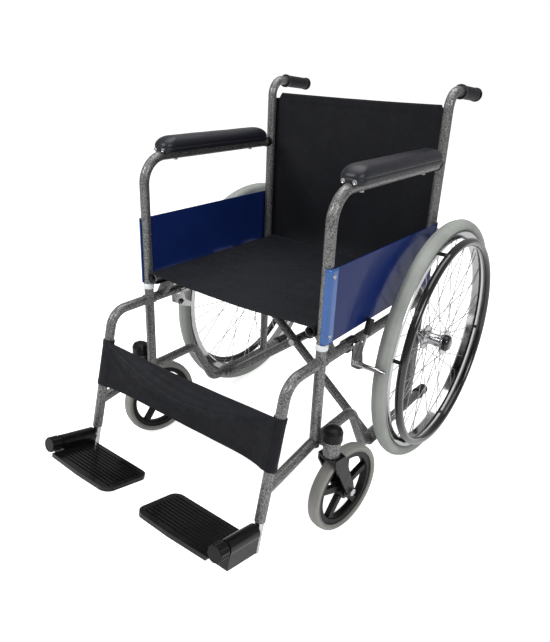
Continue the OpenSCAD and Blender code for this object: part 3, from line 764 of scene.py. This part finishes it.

# each side panel's front edge, curved round the post, gets a lighter blue strip laid over it: a painted
# highlight where the curve catches the light
for side, s in (("left", 1), ("right", -1)):
    def highlight_point(u, v, s=s):
        r = TUBE + PANEL_GAP + PANEL_THICK + HIGHLIGHT_GAP
        arc, flat = math.radians(74), 0.012
        total = arc * r + flat
        d = u * total
        z = PANEL_LOW - 0.0004 + v * (PANEL_TOP - PANEL_LOW + 0.0008)
        if d < arc * r:
            a = -arc + d / r
            return Vector((s * (FRAME_X + r * math.cos(a)), POST_Y + r * math.sin(a), z))
        return Vector((s * (FRAME_X + r), POST_Y + d - arc * r, z))

    bm, rows = grid(highlight_point, 36, 24)
    bmesh.ops.recalc_face_normals(bm, faces=bm.faces)
    highlight_strip = finish_mesh(f"panel_painted_highlight_{side}", bm, HIGHLIGHT_BLUE)
    thicken(highlight_strip, 0.0012)
    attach(highlight_strip, f"side_{side}")

    clip = lathe(f"post_clip_{side}", (s * FRAME_X, POST_Y, PANEL_LOW - 0.016), (0, 0, 1),
                 [(0.0112, 0), (0.0124, 0.0006), (0.0128, 0.002), (0.0128, 0.011),
                  (0.0124, 0.0124), (0.0112, 0.013)], WHITE, 48)
    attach(clip, f"side_{side}")

    collar = lathe(f"arm_collar_{side}", (s * FRAME_X, AXLE_Y - TUBE - 0.015, ARM_Z), (0, 1, 0),
                   [(0.0112, 0), (0.0122, 0.0005), (0.0128, 0.002), (0.0128, 0.0135),
                    (0.0122, 0.0150), (0.0112, 0.0155)], PLASTIC, 48)
    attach(collar, f"side_{side}")

    for k, z in enumerate((STEP_Z + 0.020, (STEP_Z + HANDLE_Z - 0.045) / 2, HANDLE_Z - 0.065)):
        screw = lathe(f"back_screw_{side}_{k}", (s * FRAME_X, AXLE_Y + BACK_R + CLOTH_T / 2, z), (0, 1, 0),
                      [(0.0052, -0.0002), (0.0052, 0.0004), (0.0044, 0.0014),
                       (0.0026, 0.0021), (0.0, 0.0023)], STEEL, 32)
        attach(screw, f"side_{side}")

    cap = lathe(f"hub_cap_{side}", (s * (WHEEL_X + 0.0292), AXLE_Y, AXLE.z), (s, 0, 0),
                [(0.0192, -0.012), (0.0205, -0.010), (0.0205, 0.002), (0.0195, 0.0055), (0.016, 0.0088),
                 (0.0125, 0.0102), (0.0, 0.0106)], BLACK, 48)
    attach(cap, f"rear_wheel_{side}")


def weld(name, centre, body, bead=0.0016, wobble=0.0005):
    """A welded seam: a lumpy ring where one tube meets another."""
    axis = Vector((0, 1, 0))
    radius = TUBE - 0.0002
    a = axis.orthogonal().normalized()
    b = axis.cross(a)
    n = 72
    bm = bmesh.new()
    rings = []
    for i in range(n):
        t = 2 * math.pi * i / n
        out = a * math.cos(t) + b * math.sin(t)
        r = bead + wobble * abs(math.sin(t * 14))
        c = Vector(centre) + out * radius
        rings.append([bm.verts.new(c + (out * math.cos(k) + axis * math.sin(k)) * r)
                      for k in (2 * math.pi * j / 8 for j in range(8))])
    for i in range(n):
        r0, r1 = rings[i], rings[(i + 1) % n]
        for k in range(8):
            bm.faces.new((r0[k], r0[(k + 1) % 8], r1[(k + 1) % 8], r1[k]))
    bmesh.ops.recalc_face_normals(bm, faces=bm.faces)
    o = finish_mesh(name, bm, HAMMER)
    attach(o, body)


for side, s in (("left", 1), ("right", -1)):
    body = f"side_{side}"
    x = s * FRAME_X
    weld(f"weld_rail_front_{side}", (x, POST_Y + TUBE + 0.0004, RAIL_Z), body)
    weld(f"weld_rail_back_{side}", (x, AXLE_Y - TUBE - 0.0004, RAIL_Z), body)
    weld(f"weld_hanger_{side}", (x, POST_Y - TUBE - 0.0004, RAIL_Z), body)
    weld(f"weld_goose_{side}", (x, POST_Y + TUBE + 0.0004, 0.222), body)

# ---------- floor and light ----------

floor_mesh = bpy.data.meshes.new("floor")
floor_mesh.from_pydata([(-30, -30, 0), (30, -30, 0), (30, 30, 0), (-30, 30, 0)], [], [(0, 1, 2, 3)])
floor = bpy.data.objects.new("floor", floor_mesh)
bpy.context.collection.objects.link(floor)
pale = Mat("floor", (0.9, 0.9, 0.9), 0.9, shine=0.0)
pale.b.inputs["Emission Color"].default_value = (1, 1, 1, 1)
# the floor is lit white to the camera and throws less light up at the metal
direct = pale.node("ShaderNodeLightPath").outputs["Is Camera Ray"]
glow = pale.node("ShaderNodeMapRange")
glow.inputs["To Min"].default_value = 0.15
glow.inputs["To Max"].default_value = 0.7
pale.m.node_tree.links.new(direct, glow.inputs["Value"])
pale.set("Emission Strength", glow.outputs["Result"])
floor_mesh.materials.append(pale.m)

world = bpy.context.scene.world or bpy.data.worlds.new("world")
bpy.context.scene.world = world
world.use_nodes = True
sky = world.node_tree.nodes["Background"]
sky.inputs["Color"].default_value = (1, 1, 1, 1)
# the backdrop is pure white to the camera and dimmer as a light
seen = world.node_tree.nodes.new("ShaderNodeLightPath").outputs["Is Camera Ray"]
level = world.node_tree.nodes.new("ShaderNodeMapRange")
level.inputs["To Min"].default_value = 0.4
world.node_tree.links.new(seen, level.inputs["Value"])
world.node_tree.links.new(level.outputs["Result"], sky.inputs["Strength"])


def area(name, at, to, size, power):
    d = bpy.data.lights.new(name, "AREA")
    d.shape = "RECTANGLE"
    d.size, d.size_y = size
    d.energy = power
    o = bpy.data.objects.new(name, d)
    bpy.context.collection.objects.link(o)
    o.location = at
    o.rotation_mode = "QUATERNION"
    o.rotation_quaternion = (Vector(to) - Vector(at)).to_track_quat("-Z", "Y")


area("key", (-0.9, -2.4, 2.5), (0, 0, 0.4), (1.1, 1.1), 60)
area("fill", (2.6, -1.0, 1.9), (0, 0, 0.4), (1.4, 1.0), 36)
area("top", (0, 0.4, 3.0), (0, 0, 0.3), (2.4, 2.4), 60)
bpy.context.scene.view_settings.view_transform = "Standard"
bpy.context.scene.view_settings.look = "None"
